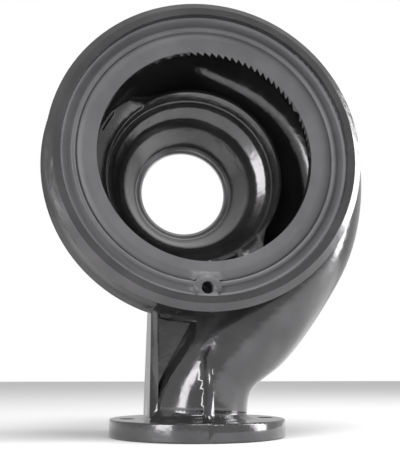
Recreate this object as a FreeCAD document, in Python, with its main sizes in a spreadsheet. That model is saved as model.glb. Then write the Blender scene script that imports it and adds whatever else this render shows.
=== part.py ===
import FreeCAD, Part
import math
import os
import Sketcher

# Volute casing of a single-stage pump, cast in one piece. Millimetres.
# Origin: centre of the discharge flange face. +Z up, impeller opening to -Y, suction to +Y.

doc = FreeCAD.newDocument("volute_casing")
sheet = doc.addObject("Spreadsheet::Sheet", "Dims")

DIMS = {
    "axis_height": 315.0,        # impeller axis above the discharge face
    "flange_radius": 100.0,
    "flange_thickness": 19.5,
    "flange_edge_round": 2.0,
    "flange_bore_radius": 40.0,
    "bolt_circle_radius": 80.0,
    "bolt_hole_radius": 9.0,
    "bolt_count": 4,
    "flare_radius": 19.5,
    "ring_radius": 180.5,        # clamp ring round the impeller opening
    "ring_front": 80.5,          # ring face in front of the flange centre
    "ring_chamfer_width": 8.5,
    "ring_chamfer_depth": 6.0,
    "ring_width": 14.5,
    "recess_radius": 164.0,
    "recess_depth": 10.2,
    "recess_fillet": 4.7,
    "rim_outer_radius": 152.5,
    "rim_inner_radius": 148.2,
    "rim_drop": 8.5,
    "groove_width": 2.4,
    "throat_outer_drop": 10.5,
    "throat_drop": 15.2,
    "throat_radius": 124.3,
    "throat_back": 26.5,
    "neck_in_radius": 170.5,     # drum just behind the clamp ring
    "drum_radius": 185.0,
    "bead_height": 2.5,
    "bead_front": -20.5,
    "bead_width": 5.5,
    "drum_corner": 44.0,
    "chamber_radius": 128.0,
    "land_depth": 26.0,          # flat land round the eye
    "eye_radius": 110.6,
    "eye_seat_radius": 107.8,
    "eye_seat_depth": 57.5,
    "cone_radius": 86.5,
    "cone_depth": 71.0,
    "inlet_radius": 66.6,
    "inlet_depth": 117.6,
    "suction_radius": 57.8,
    "suction_depth": 123.5,
    "suction_bore_radius": 62.5,
    "suction_face": 138.0,
    "suction_flange_radius": 125.0,
    "suction_flange_thickness": 22.0,
    "suction_bolt_circle": 105.0,
    "suction_bolt_count": 8,
    "lip_thickness": 3.2,
    "wall": 9.0,
    "rear_wall": 10.0,
    "spiral_inner": 104.0,
    "spiral_start": 131.0,
    "spiral_end": 201.0,
    "channel_front": 52.0,
    "channel_start_depth": 24.0,  # a little short of the land
    "channel_depth": 84.0,
    "pin_circle_radius": 154.0,
    "pin_hole_radius": 7.0,
    "pin_hole_depth": 20.0,
    "pin_boss_radius": 15.0,
    "rib_outer": 56.5,
    "rib_thickness": 9.0,
    "rib_front": 21.0,
    "rib_back": 25.0,
    "rib_foot": 60.0,
    "web_thickness": 10.0,
    "gusset_thickness": 9.0,
    "gusset_offset": -1.5,
    "gusset_top": 88.0,
    "gusset_foot": 70.0,
}

TONGUE_ANGLE = -60.0         # where the spiral starts, seen from the front
SPIRAL_SWEEP = 300.0
SPIRAL_POWER = 0.7
STATION_STEP = 20.0
OVAL_POLES = 8
OVAL_REACH = 3.0 / (2.0 + math.cos(2.0 * math.pi / OVAL_POLES))  # pole over curve radius
RAMP_START = 215.0           # where the channel floor leaves the land
RAMP_SWEEP = 80.0


class Size:
    """A number together with the spreadsheet expression that gives it."""

    def __init__(self, value, text):
        self.value = float(value)
        self.text = text

    def join(self, other, sign, value):
        text = other.text if isinstance(other, Size) else repr(float(other))
        return Size(value, "(%s %s %s)" % (self.text, sign, text))

    def __add__(self, other):
        return self.join(other, "+", self.value + number(other))

    def __sub__(self, other):
        return self.join(other, "-", self.value - number(other))

    def __mul__(self, other):
        return self.join(other, "*", self.value * number(other))

    def __truediv__(self, other):
        return self.join(other, "/", self.value / number(other))

    def __neg__(self):
        return Size(-self.value, "(0 - %s)" % self.text)


def number(item):
    return item.value if isinstance(item, Size) else float(item)


def dim(alias):
    return Size(DIMS[alias], "Dims." + alias)


def bind(obj, prop, size):
    """Bind a property to a size, or set it when it is a plain number."""
    if isinstance(size, Size):
        obj.setExpression(prop, size.text)
    else:
        obj.setExpression(prop, repr(float(size)))


def place(obj, x, y, z, rotation=None):
    obj.Placement = FreeCAD.Placement(
        FreeCAD.Vector(number(x), number(y), number(z)), rotation or FreeCAD.Rotation())
    bind(obj, "Placement.Base.x", x)
    bind(obj, "Placement.Base.y", y)
    bind(obj, "Placement.Base.z", z)


def fill_sheet():
    for row, (alias, value) in enumerate(DIMS.items(), start=1):
        sheet.set("A%d" % row, alias)
        sheet.set("B%d" % row, str(value))
        sheet.setAlias("B%d" % row, alias)
    doc.recompute()


def origin_item(body, role):
    return [item for item in body.Origin.OriginFeatures if item.Role == role][0]


def new_body(label):
    body = doc.addObject("PartDesign::Body", label)
    body.Label = label
    return body


def outline(body, label, plane, points, arcs=None):
    """Closed sketch through points; arcs maps a side's number to its centre."""
    arcs = arcs or {}
    sketch = body.newObject("Sketcher::SketchObject", label)
    sketch.AttachmentSupport = [(origin_item(body, plane), "")]
    sketch.MapMode = "FlatFace"
    count = len(points)
    for side in range(count):
        start = FreeCAD.Vector(number(points[side][0]), number(points[side][1]), 0)
        end_point = points[(side + 1) % count]
        end = FreeCAD.Vector(number(end_point[0]), number(end_point[1]), 0)
        if side in arcs:
            sketch.addGeometry(short_arc(start, end, arcs[side]), False)
        else:
            sketch.addGeometry(Part.LineSegment(start, end), False)
    for side in range(count):
        follower = (side + 1) % count
        sketch.addConstraint(Sketcher.Constraint(
            "Coincident", side, end_tag(arcs, side), follower, start_tag(arcs, follower)))
    for side, (x, y) in enumerate(points):
        tag = start_tag(arcs, side)
        for kind, size in (("DistanceX", x), ("DistanceY", y)):
            pin(sketch, kind, side, tag, size)
    for side in arcs:
        pin(sketch, "DistanceX", side, 3, arcs[side][0])
    return sketch


def pin(sketch, kind, side, tag, size):
    index = sketch.addConstraint(Sketcher.Constraint(kind, -1, 1, side, tag, number(size)))
    if isinstance(size, Size):
        sketch.setExpression("Constraints[%d]" % index, size.text)


def short_arc(start, end, centre):
    """Arc under half a turn from start to end; stored anticlockwise."""
    middle = FreeCAD.Vector(number(centre[0]), number(centre[1]), 0)
    radius = (start - middle).Length
    first = math.atan2(start.y - middle.y, start.x - middle.x)
    last = math.atan2(end.y - middle.y, end.x - middle.x)
    circle = Part.Circle(middle, FreeCAD.Vector(0, 0, 1), radius)
    if centre[2] > 0:
        return Part.ArcOfCircle(circle, first, last)
    return Part.ArcOfCircle(circle, last, first)


def start_tag(arcs, side):
    return 2 if side in arcs and arcs[side][2] < 0 else 1


def end_tag(arcs, side):
    return 1 if side in arcs and arcs[side][2] < 0 else 2


def revolve(body, sketch, axis):
    turn = body.newObject("PartDesign::Revolution", body.Label + "_turned")
    turn.Profile = sketch
    turn.ReferenceAxis = (origin_item(body, axis), [""])
    turn.Angle = 360
    return turn


def turned(label, points, arcs=None):
    """Solid turned about the impeller axis from (radius, depth) points."""
    body = new_body(label)
    sketch = outline(body, label + "_section", "XY_Plane", points, arcs)
    revolve(body, sketch, "Y_Axis")
    place(body, 0.0, 0.0, dim("axis_height"))
    return body


def drum():
    """Outer skin of the round part with the clamp ring and its stepped face."""
    front = -dim("ring_front")
    ring = dim("ring_radius")
    corner = dim("drum_corner")
    bead_front = dim("bead_front")
    bead_back = bead_front + dim("bead_width")
    arc_depth = dim("land_depth") + dim("rear_wall") - corner
    back = dim("land_depth") + dim("rear_wall")
    centre = dim("drum_radius") - corner
    fillet = dim("recess_fillet")
    ledge = front + dim("recess_depth")
    neck = dim("inlet_radius") + dim("wall") + 4.0
    rim = dim("suction_flange_radius")
    face = dim("suction_face")
    seat = face - dim("suction_flange_thickness")
    points = [
        (0.0, front + dim("throat_drop") + 2.2),
        (dim("throat_radius") - 10.0, front + dim("throat_drop") + 2.2),
        (dim("rim_inner_radius") - dim("groove_width"), front + dim("throat_outer_drop")),
        (dim("rim_inner_radius") - dim("groove_width") / 2, front + dim("throat_drop")),
        (dim("rim_inner_radius"), front + dim("rim_drop")),
        (dim("rim_outer_radius"), front + dim("rim_drop")),
        (dim("rim_outer_radius") + 0.8, ledge),
        (dim("recess_radius") - fillet, ledge),
        (dim("recess_radius"), ledge - fillet),
        (dim("recess_radius"), front),
        (ring - dim("ring_chamfer_width"), front),
        (ring, front + dim("ring_chamfer_depth")),
        (ring, front + dim("ring_width")),
        (dim("neck_in_radius"), front + dim("ring_width") + 6.0),
        (dim("neck_in_radius"), front + dim("ring_width") + 9.5),
        (dim("drum_radius"), bead_front),
        (dim("drum_radius") + dim("bead_height"), bead_front + 0.8),
        (dim("drum_radius") + dim("bead_height"), bead_back - 0.8),
        (dim("drum_radius"), bead_back),
        (dim("drum_radius"), arc_depth),
        (centre, back),
        (dim("eye_radius") + dim("wall") + 4.0, back),
        (dim("eye_seat_radius") + dim("wall"), dim("eye_seat_depth") + dim("wall") * 0.6),
        (dim("cone_radius") + dim("wall"), dim("cone_depth") + dim("wall")),
        (neck, seat - 10.0),
        (neck + 10.0, seat),
        (rim - 2.0, seat),
        (rim, seat + 2.0),
        (rim, face - 2.0),
        (rim - 2.0, face),
        (0.0, face),
    ]
    arcs = {
        7: (dim("recess_radius") - fillet, ledge - fillet, -1),
        19: (centre, arc_depth, 1),
        24: (neck + 10.0, seat - 10.0, -1),
    }
    return turned("drum", points, arcs)


def eye_core():
    """Space kept out of the spiral channel so that the wall round the eye stands."""
    lip = dim("eye_radius") + dim("lip_thickness")
    foot = dim("eye_seat_radius") + dim("wall") + 1.0
    points = [
        (0.0, dim("land_depth") - 10.0),
        (lip, dim("land_depth") - 10.0),
        (lip, dim("land_depth")),
        (foot, dim("eye_seat_depth")),
        (foot, dim("channel_depth") + 20.0),
        (0.0, dim("channel_depth") + 20.0),
    ]
    return turned("eye_core", points)


def cavity():
    """Impeller chamber, stepped eye and suction bore."""
    front = -dim("ring_front")
    throat = dim("throat_radius")
    points = [
        (0.0, front - 10.0),
        (throat, front - 10.0),
        (throat, front + dim("throat_back")),
        (dim("chamber_radius"), front + dim("throat_back")),
        (dim("chamber_radius"), dim("land_depth") - 4.0),
        (dim("chamber_radius") - 4.0, dim("land_depth")),
        (dim("eye_radius"), dim("land_depth")),
        (dim("eye_seat_radius"), dim("eye_seat_depth")),
        (dim("cone_radius"), dim("cone_depth")),
        (dim("inlet_radius"), dim("inlet_depth")),
        (dim("suction_radius"), dim("suction_depth")),
        (dim("suction_radius"), dim("suction_depth") + 2.0),
        (dim("suction_bore_radius"), dim("suction_depth") + 7.0),
        (dim("suction_bore_radius"), dim("suction_face") + 10.0),
        (0.0, dim("suction_face") + 10.0),
    ]
    return turned("cavity", points)


def smooth(share):
    share = min(max(share, 0.0), 1.0)
    return share * share * (3.0 - 2.0 * share)


def spiral_stations():
    """Channel sections round the axis: centre radius, depth, half width, half height."""
    stations = []
    steps = int(round(SPIRAL_SWEEP / STATION_STEP))
    for step in range(steps + 1):
        travel = step * STATION_STEP
        angle = TONGUE_ANGLE - travel
        growth = (travel / SPIRAL_SWEEP) ** SPIRAL_POWER
        outer = dim("spiral_start") + (dim("spiral_end") - dim("spiral_start")) * growth
        drop = smooth((-angle - RAMP_START) / RAMP_SWEEP)
        shallow = dim("channel_start_depth")
        floor = shallow + (dim("channel_depth") - shallow) * drop
        stations.append(radial_station(angle, outer, floor))
    stations.append(radial_station(-380.0, dim("spiral_end") + 5.0, dim("channel_depth")))
    return stations


def radial_station(angle, outer, floor):
    half_width = (outer - dim("spiral_inner")) / 2
    middle = (outer + dim("spiral_inner")) / 2
    half_depth = (floor + dim("channel_front")) / 2
    depth = (floor - dim("channel_front")) / 2
    turn = math.radians(angle)
    x = middle * math.cos(turn)
    z = dim("axis_height") + middle * math.sin(turn)
    return (x, depth, z, angle, half_width, half_depth)


def duct_stations():
    """Swan neck from the spiral to the flange, as shares of the reach and the height."""
    reach = (dim("spiral_end") + dim("spiral_inner")) / 2
    height = dim("axis_height")
    bore = dim("flange_bore_radius")
    rows = (
        (0.826, 0.629, -22.0, 1.100, 1.500, 0.167),
        (0.518, 0.448, -45.0, 1.225, 1.163, 0.095),
        (0.203, 0.294, -40.0, 1.100, 1.136, 0.036),
        (0.056, 0.162, -20.0, 1.087, 1.060, 0.010),
        (0.023, 0.114, -11.0, 1.137, 1.017, 0.0),
        (0.003, 0.073, -3.0, 1.075, 1.010, 0.0),
    )
    stations = []
    for share_x, share_z, tilt, width, ratio, share_y in rows:
        half_width = bore * width
        stations.append((reach * share_x, dim("channel_depth") * share_y, height * share_z,
                         tilt, half_width, half_width * ratio))
    end = bore - 0.8
    stations.append((0.0, 0.0, dim("flange_thickness") * 0.72, 0.0, end, end))
    return stations


def section(label, station, margin):
    """Oval section as one closed cubic spline, long axis along the impeller axis."""
    x, y, z, angle, half_width, half_depth = station
    turn = math.radians(angle)
    along = FreeCAD.Vector(0, 1, 0)
    radial = FreeCAD.Vector(math.cos(turn), 0, math.sin(turn))
    sketch = doc.addObject("Sketcher::SketchObject", label)
    place(sketch, x, y, z, FreeCAD.Rotation(along, radial, along.cross(radial), "XYZ"))
    poles = []
    for index in range(OVAL_POLES):
        corner = 2.0 * math.pi * index / OVAL_POLES
        poles.append(((half_depth + margin) * (OVAL_REACH * math.cos(corner)),
                      (half_width + margin) * (OVAL_REACH * math.sin(corner))))
    add_closed_spline(sketch, poles)
    return sketch


def add_closed_spline(sketch, poles):
    """Periodic cubic spline whose poles are each held by two dimensions."""
    count = len(poles)
    places = [FreeCAD.Vector(number(x), number(y), 0) for x, y in poles]
    curve = Part.BSplineCurve()
    curve.buildFromPolesMultsKnots(places, [1] * (count + 1), list(range(count + 1)), True, 3)
    sketch.addGeometry(curve, False)
    for spot in places:
        sketch.addGeometry(Part.Circle(spot, FreeCAD.Vector(0, 0, 1), 1.0), True)
    for index in range(count):
        sketch.addConstraint(Sketcher.Constraint(
            "InternalAlignment:Sketcher::BSplineControlPoint", index + 1, 3, 0, index))
    sketch.addConstraint(Sketcher.Constraint("Weight", 1, 1.0))
    for index in range(1, count):
        sketch.addConstraint(Sketcher.Constraint("Equal", 1, index + 1))
    for index, (x, y) in enumerate(poles):
        pin(sketch, "DistanceX", index + 1, 3, x)
        pin(sketch, "DistanceY", index + 1, 3, y)


def loft(label, stations, margin):
    sections = []
    for index, station in enumerate(stations):
        sections.append(section("%s_%d" % (label, index), station, margin))
    body = doc.addObject("Part::Loft", label)
    body.Sections = sections
    body.Solid = True
    body.Ruled = False
    body.Closed = False
    body.MaxDegree = 3
    return body


def flange():
    """Discharge flange with the flare that carries it to the neck."""
    body = new_body("flange")
    edge = dim("flange_edge_round")
    radius = dim("flange_radius")
    top = dim("flange_thickness")
    flare = dim("flare_radius")
    neck = dim("flange_bore_radius") + dim("wall") + 1.0
    points = [
        (0.0, 0.0),
        (radius - edge, 0.0),
        (radius, edge),
        (radius, top - edge),
        (radius - edge, top),
        (neck + flare, top),
        (neck, top + flare),
        (0.0, top + flare),
    ]
    arcs = {
        1: (radius - edge, edge, 1),
        3: (radius - edge, top - edge, 1),
        5: (neck + flare, top + flare, -1),
    }
    sketch = outline(body, "flange_section", "XZ_Plane", points, arcs)
    revolve(body, sketch, "Z_Axis")
    return body


def box(label, x, y, z, length, width, height):
    block = doc.addObject("Part::Box", label)
    place(block, x, y, z)
    bind(block, "Length", length)
    bind(block, "Width", width)
    bind(block, "Height", height)
    return block


def pad_across(label, points, offset, thickness):
    """Plate drawn in the depth and height plane and padded along +X from an offset."""
    body = new_body(label)
    pad = body.newObject("PartDesign::Pad", label + "_pad")
    pad.Profile = outline(body, label + "_section", "YZ_Plane", points)
    body.Tip = pad
    bind(pad, "Length", thickness)
    place(body, offset, 0.0, 0.0)
    return body


def side_rib():
    foot = dim("flange_thickness") - 4.0
    top = dim("axis_height") - dim("drum_radius") + 12.0
    points = [
        (-dim("rib_front"), foot),
        (dim("rib_foot"), foot),
        (dim("rib_back"), top),
        (-dim("rib_front"), top),
    ]
    return pad_across("side_rib", points, -dim("rib_outer"), dim("rib_thickness"))


def side_web():
    foot = dim("flange_thickness") - 4.0
    top = dim("axis_height") - dim("drum_radius") + 12.0
    return box("side_web", -dim("rib_outer") + 2.0, dim("web_thickness") * -0.4, foot,
               dim("rib_outer"), dim("web_thickness"), top - foot)


def gusset():
    foot = dim("flange_thickness") - 3.0
    points = [
        (-dim("gusset_foot"), foot),
        (-dim("flange_bore_radius"), foot),
        (-dim("flange_bore_radius"), dim("gusset_top")),
        (-dim("flange_bore_radius") * 1.27, dim("gusset_top")),
        (-dim("gusset_foot") + 4.0, foot + 14.0),
    ]
    return pad_across("gusset", points, dim("gusset_offset"), dim("gusset_thickness"))


def cylinder(label, x, y, z, radius, height, rotation=None):
    post = doc.addObject("Part::Cylinder", label)
    place(post, x, y, z, rotation)
    bind(post, "Radius", radius)
    bind(post, "Height", height)
    return post


FACING_BACK = FreeCAD.Rotation(FreeCAD.Vector(1, 0, 0), -90)


def pin_boss():
    front = dim("rim_drop") - dim("ring_front")
    return cylinder("pin_boss", 0.0, front, dim("axis_height") - dim("pin_circle_radius"),
                    dim("pin_boss_radius"), dim("recess_depth") - dim("rim_drop") + 4.0,
                    FACING_BACK)


def pin_hole():
    start = dim("rim_drop") - dim("ring_front") - 5.0
    return cylinder("pin_hole", 0.0, start, dim("axis_height") - dim("pin_circle_radius"),
                    dim("pin_hole_radius"), dim("pin_hole_depth") + 5.0, FACING_BACK)


def bolt_holes():
    holes = []
    for index in range(int(DIMS["bolt_count"])):
        angle = 2.0 * math.pi * index / DIMS["bolt_count"]
        holes.append(cylinder(
            "bolt_hole_%d" % index, dim("bolt_circle_radius") * math.cos(angle),
            dim("bolt_circle_radius") * math.sin(angle), -5.0,
            dim("bolt_hole_radius"), dim("flange_thickness") + 20.0))
    return holes


def suction_holes():
    holes = []
    start = dim("suction_face") - dim("suction_flange_thickness") - 4.0
    for index in range(int(DIMS["suction_bolt_count"])):
        angle = 2.0 * math.pi * (index + 0.5) / DIMS["suction_bolt_count"]
        height = dim("axis_height") + dim("suction_bolt_circle") * math.sin(angle)
        holes.append(cylinder(
            "suction_hole_%d" % index, dim("suction_bolt_circle") * math.cos(angle),
            start, height, dim("bolt_hole_radius"),
            dim("suction_flange_thickness") + 10.0, FACING_BACK))
    return holes


def flange_bore():
    return cylinder("flange_bore", 0.0, 0.0, -5.0, dim("flange_bore_radius"),
                    dim("flange_thickness") + 5.0)


def fuse(label, shapes):
    """Solids joined one after another."""
    joined = shapes[0]
    for index, shape in enumerate(shapes[1:], start=1):
        union = doc.addObject("Part::Fuse", "%s_%d" % (label, index))
        union.Base = joined
        union.Tool = shape
        union.Refine = False
        joined = union
    return joined


def gather(label, shapes):
    """Separate tools gathered as one."""
    tools = doc.addObject("Part::MultiFuse", label)
    tools.Shapes = shapes
    tools.Refine = False
    return tools


def cut(label, base, tool):
    result = doc.addObject("Part::Cut", label)
    result.Base = base
    result.Tool = tool
    result.Refine = False
    return result


def check_document():
    doc.recompute()
    for obj in doc.Objects:
        if "Invalid" in obj.State or "Error" in obj.State:
            raise RuntimeError("%s is in state %s" % (obj.Label, obj.State))
        if hasattr(obj, "Shape") and obj.TypeId != "App::Origin":
            if obj.Shape.isNull() or not obj.Shape.isValid():
                raise RuntimeError("%s has no valid shape" % obj.Label)


def main():
    fill_sheet()
    channel = spiral_stations() + duct_stations()
    outer_channel = channel[7:-1]
    outer_channel.append((0.0, 0.0, dim("flange_thickness") * 0.4, 0.0,
                          dim("flange_bore_radius") * 1.087, dim("flange_bore_radius") * 1.087))
    solid = fuse("solid", [
        drum(), loft("spiral_wall", outer_channel, dim("wall")), flange(),
        side_rib(), side_web(), gusset(), pin_boss()])
    passage = cut("passage", loft("spiral_channel", channel, Size(0.0, "0")), eye_core())
    drillings = gather("drillings", [flange_bore(), pin_hole()] + bolt_holes() + suction_holes())
    drilled = cut("drilled", solid, drillings)
    opened = cut("opened", drilled, passage)
    casing = cut("volute_casing", opened, cavity())
    check_document()
    shape = casing.Shape
    print("solids", len(shape.Solids), "faces", len(shape.Faces), "volume", shape.Volume / 1e6)
    print("box", shape.BoundBox)
    os.makedirs("parts", exist_ok=True)
    shape.exportStep("parts/volute_casing.step")


main()
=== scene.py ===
import logging
import math
from dataclasses import dataclass, field
from enum import Enum
from typing import Any

import bmesh
import bpy
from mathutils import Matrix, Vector

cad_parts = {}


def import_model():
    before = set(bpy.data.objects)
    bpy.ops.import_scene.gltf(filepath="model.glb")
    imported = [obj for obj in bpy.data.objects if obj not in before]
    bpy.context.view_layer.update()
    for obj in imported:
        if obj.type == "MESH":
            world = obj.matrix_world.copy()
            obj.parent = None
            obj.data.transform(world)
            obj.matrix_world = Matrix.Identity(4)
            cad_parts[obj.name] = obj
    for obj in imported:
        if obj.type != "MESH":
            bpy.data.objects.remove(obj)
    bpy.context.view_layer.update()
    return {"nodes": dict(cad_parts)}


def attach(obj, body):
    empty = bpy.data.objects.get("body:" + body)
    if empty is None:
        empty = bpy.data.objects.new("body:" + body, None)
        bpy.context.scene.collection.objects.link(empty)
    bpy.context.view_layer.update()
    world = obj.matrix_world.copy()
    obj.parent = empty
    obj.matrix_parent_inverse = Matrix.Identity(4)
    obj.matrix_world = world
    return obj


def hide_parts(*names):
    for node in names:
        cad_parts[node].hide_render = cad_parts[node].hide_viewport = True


log = logging.getLogger("volute_casing")
Colour = tuple[float, float, float]
Point = tuple[float, float, float]
STAIN_SHARE = 0.4       # scale of the colour variation over that of the surface wave
STAIN_CONTRAST = 1.6
STAIN_SHIFT = 0.3
COAT_ROUGHNESS = 0.06


class Zone(Enum):
    """Surface zones of the casting, each with its own finish."""

    PAINT = 0
    GRAINY = 1
    MACHINED = 2


class Signal:
    """A shader value whose arithmetic adds Math nodes to the tree."""

    def __init__(self, tree: "Shader", socket: Any) -> None:
        """Wrap an output socket of a tree."""
        self.tree = tree
        self.socket = socket

    def _math(self, operation: str, first: Any, second: Any) -> "Signal":
        """Add one Math node.

        Args:
            operation: Blender's name of the operation.
            first: left value, a Signal or a number.
            second: right value, a Signal or a number.

        Returns:
            The node's result.
        """
        return self.tree.node("ShaderNodeMath", {"operation": operation},
                              {0: first, 1: second}, "Value")

    def __add__(self, other: Any) -> "Signal":
        """Sum of two values."""
        return self._math("ADD", self, other)

    __radd__ = __add__

    def __sub__(self, other: Any) -> "Signal":
        """Difference of two values."""
        return self._math("SUBTRACT", self, other)

    def __rsub__(self, other: Any) -> "Signal":
        """Difference with this value on the right."""
        return self._math("SUBTRACT", other, self)

    def __mul__(self, other: Any) -> "Signal":
        """Product of two values."""
        return self._math("MULTIPLY", self, other)

    __rmul__ = __mul__


class Shader:
    """A node material written as expressions."""

    def __init__(self, name: str) -> None:
        """Start an empty material with an output node."""
        self.material = bpy.data.materials.new(name)
        self.material.use_nodes = True
        self.nodes = self.material.node_tree.nodes
        self.links = self.material.node_tree.links
        self.nodes.clear()
        self.output = self.nodes.new("ShaderNodeOutputMaterial")

    def node(self, kind: str, settings: dict[str, Any], sockets: dict[Any, Any],
             result: Any = 0) -> Signal:
        """Add a node.

        Args:
            kind: Blender's type name of the node.
            settings: properties set before the sockets.
            sockets: input socket to its value or Signal.
            result: name or number of the output wanted.

        Returns:
            The wanted output.
        """
        made = self.nodes.new(kind)
        for key, value in settings.items():
            setattr(made, key, value)
        for key, value in sockets.items():
            if isinstance(value, Signal):
                self.links.new(value.socket, made.inputs[key])
            else:
                made.inputs[key].default_value = value
        return Signal(self, made.outputs[result])

    def place(self) -> Signal:
        """Object coordinates of the surface point."""
        return self.node("ShaderNodeTexCoord", {}, {}, "Object")

    def noise(self, scale: float, detail: float) -> Signal:
        """Noise value at a scale per metre.

        Args:
            scale: cells per metre.
            detail: octaves of the noise.

        Returns:
            A value near 0.5.
        """
        return self.node("ShaderNodeTexNoise", {},
                         {"Vector": self.place(), "Scale": scale, "Detail": detail}, 0)

    def mix(self, share: Signal, dark: Colour, light: Colour) -> Signal:
        """Blend two colours by a share from 0 to 1.

        Args:
            share: 0 gives the first colour, 1 the second.
            dark: first colour.
            light: second colour.

        Returns:
            The blended colour.
        """
        return self.node("ShaderNodeMix", {"data_type": "RGBA"},
                         {0: share, 6: (*dark, 1.0), 7: (*light, 1.0)}, 2)

    def finish(self, sockets: dict[str, Any]) -> bpy.types.Material:
        """Close the tree with a Principled shader.

        Args:
            sockets: the shader's inputs.

        Returns:
            The finished material.
        """
        surface = self.node("ShaderNodeBsdfPrincipled", {}, sockets, "BSDF")
        self.links.new(surface.socket, self.output.inputs["Surface"])
        return self.material


@dataclass(frozen=True)
class MetalFinish:
    """A metallic or painted surface with grain and uneven sheen."""

    name: str
    dark: Colour
    light: Colour
    metallic: float
    roughness: float
    roughness_spread: float
    coat: float
    grain_scale: float
    grain_depth: float
    wave_scale: float
    wave_depth: float

    def material(self) -> bpy.types.Material:
        """Build the node material.

        Returns:
            The material.
        """
        shader = Shader(self.name)
        grain = shader.noise(self.grain_scale, 3.0)
        wave = shader.noise(self.wave_scale, 2.0)
        stain = shader.noise(self.wave_scale * STAIN_SHARE, 4.0)
        height = grain * self.grain_depth + wave * self.wave_depth
        normal = shader.node("ShaderNodeBump", {},
                             {"Strength": 1.0, "Distance": 1.0, "Height": height}, "Normal")
        return shader.finish({
            "Base Color": shader.mix(stain * STAIN_CONTRAST - STAIN_SHIFT, self.dark, self.light),
            "Metallic": self.metallic,
            "Roughness": stain * self.roughness_spread + (self.roughness - self.roughness_spread / 2),
            "Coat Weight": self.coat,
            "Coat Roughness": COAT_ROUGHNESS,
            "Normal": normal,
        })


BLACK_PAINT = MetalFinish("glossy_black_paint", (0.055, 0.053, 0.056), (0.12, 0.116, 0.12), 0.75, 0.2, 0.1,
                          0.6, 420.0, 0.00003, 55.0, 0.0009)
GRAINY_FACE = MetalFinish("grainy_grey_face", (0.10, 0.098, 0.104), (0.15, 0.147, 0.155), 0.35, 0.5, 0.08,
                          0.0, 900.0, 0.00022, 60.0, 0.0)
BRIGHT_CUT = MetalFinish("bright_machined_cut", (0.42, 0.42, 0.43), (0.62, 0.62, 0.63), 1.0, 0.26, 0.08,
                         0.0, 600.0, 0.00002, 60.0, 0.0)


@dataclass
class Casing:
    """The cast casing, dressed zone by zone."""

    node: str = "volute_casing"
    crease: float = math.radians(28.0)
    merge: float = 1e-6
    axis_height: float = 0.315
    face_front: float = -0.0815
    face_back: float = -0.062
    face_inner: float = 0.1235
    face_outer: float = 0.1636
    lip_front: float = 0.1170
    lip_back: float = 0.1262
    lip_outer: float = 0.0668
    finishes: dict[Zone, MetalFinish] = field(default_factory=lambda: {
        Zone.PAINT: BLACK_PAINT, Zone.GRAINY: GRAINY_FACE, Zone.MACHINED: BRIGHT_CUT})

    def zone(self, centre: Vector) -> Zone:
        """Choose the finish of a face.

        Args:
            centre: middle of the face in metres.

        Returns:
            The zone that the face lies in.
        """
        radius = math.hypot(centre.x, centre.z - self.axis_height)
        if self.face_front < centre.y < self.face_back and self.face_inner < radius < self.face_outer:
            return Zone.GRAINY
        if self.lip_front < centre.y < self.lip_back and radius < self.lip_outer:
            return Zone.MACHINED
        return Zone.PAINT

    def build(self, source: bpy.types.Object) -> bpy.types.Object:
        """Make the smooth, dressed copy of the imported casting.

        Args:
            source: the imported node.

        Returns:
            The finished piece.
        """
        shell = bmesh.new()
        shell.from_mesh(source.data)
        bmesh.ops.remove_doubles(shell, verts=shell.verts, dist=self.merge)
        mesh = bpy.data.meshes.new("casing_shell")
        shell.to_mesh(mesh)
        shell.free()
        mesh.materials.clear()
        for zone in Zone:
            mesh.materials.append(self.finishes[zone].material())
        for face in mesh.polygons:
            face.use_smooth = True
            face.material_index = self.zone(face.center).value
        mesh.set_sharp_from_angle(angle=self.crease)
        piece = bpy.data.objects.new("casing_shell", mesh)
        bpy.context.scene.collection.objects.link(piece)
        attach(piece, "root")
        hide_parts(self.node)
        return piece


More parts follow.
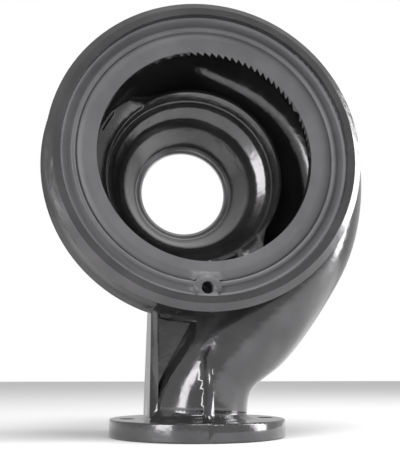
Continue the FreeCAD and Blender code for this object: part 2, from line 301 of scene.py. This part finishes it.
@dataclass
class Studio:
    """Floor, lamps, backdrop colour and camera."""

    floor_half: float = 6.0
    world_level: float = 0.55
    lens_mm: float = 57.1
    camera_place: Point = (-0.1374, -0.8329, 0.0689)
    yaw: float = math.radians(9.59)
    pitch: float = math.radians(11.79)

    def floor(self) -> bpy.types.Object:
        """Lay the pale floor.

        Returns:
            The floor.
        """
        half = self.floor_half
        mesh = bpy.data.meshes.new("floor")
        corners = [(-half, -half, 0), (half, -half, 0), (half, half, 0), (-half, half, 0)]
        mesh.from_pydata(corners, [], [(0, 1, 2, 3)])
        shader = Shader("pale_floor")
        speckle = shader.noise(4.0, 2.0)
        mesh.materials.append(shader.finish({
            "Base Color": shader.mix(speckle, (0.86, 0.86, 0.86), (0.9, 0.9, 0.9)),
            "Roughness": 0.7,
        }))
        made = bpy.data.objects.new("floor", mesh)
        bpy.context.scene.collection.objects.link(made)
        return made

    def world(self) -> None:
        """White to the camera and through glass, soft grey as a light and in reflections."""
        world = bpy.data.worlds.new("studio")
        bpy.context.scene.world = world
        world.use_nodes = True
        nodes, links = world.node_tree.nodes, world.node_tree.links
        path = nodes.new("ShaderNodeLightPath")
        seen = nodes.new("ShaderNodeMath")
        seen.operation = "MAXIMUM"
        links.new(path.outputs["Is Camera Ray"], seen.inputs[0])
        links.new(path.outputs["Is Transmission Ray"], seen.inputs[1])
        level = nodes.new("ShaderNodeMapRange")
        level.inputs["To Min"].default_value = self.world_level
        level.inputs["To Max"].default_value = 1.0
        links.new(seen.outputs[0], level.inputs["Value"])
        links.new(level.outputs["Result"], nodes["Background"].inputs["Strength"])
        nodes["Background"].inputs["Color"].default_value = (1, 1, 1, 1)

    def lamp(self, name: str, place: Point, aim: Point, size: tuple[float, float],
             power: float) -> None:
        """Hang a soft box.

        Args:
            name: name of the lamp.
            place: where it hangs.
            aim: the point that it faces.
            size: width and height in metres.
            power: power in watts.
        """
        light = bpy.data.lights.new(name, "AREA")
        light.shape = "RECTANGLE"
        light.size, light.size_y = size
        light.energy = power
        made = bpy.data.objects.new(name, light)
        made.location = place
        made.rotation_euler = (Vector(aim) - Vector(place)).to_track_quat("-Z", "Y").to_euler()
        bpy.context.scene.collection.objects.link(made)

    def lamps(self) -> None:
        """Hang all the soft boxes."""
        centre = (0.0, 0.0, 0.28)
        self.lamp("left_box", (-1.5, -1.2, 0.35), centre, (0.7, 1.4), 26.0)
        self.lamp("top_box", (0.2, -0.6, 1.9), centre, (1.2, 0.8), 22.0)
        self.lamp("right_box", (1.6, -0.2, 0.7), centre, (0.5, 1.4), 22.0)

    def camera(self) -> None:
        """Set the camera at the viewing angle."""
        data = bpy.data.cameras.new("camera")
        data.lens = self.lens_mm
        data.sensor_width = 36.0
        made = bpy.data.objects.new("camera", data)
        made.location = self.camera_place
        made.rotation_euler = (math.pi / 2 + self.pitch, 0.0, -self.yaw)
        bpy.context.scene.collection.objects.link(made)
        bpy.context.scene.camera = made

    def build(self) -> None:
        """Set up the whole studio."""
        self.floor()
        self.world()
        self.lamps()
        self.camera()
        bpy.context.scene.view_settings.view_transform = "Standard"


def main() -> None:
    """Dress the casing and light it."""
    logging.basicConfig(level=logging.INFO)
    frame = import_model()
    casing = Casing()
    piece = casing.build(frame["nodes"][casing.node])
    log.info("casing: %d faces", len(piece.data.polygons))
    Studio().build()
    log.info("studio ready")


if __name__ == "__main__":
    main()
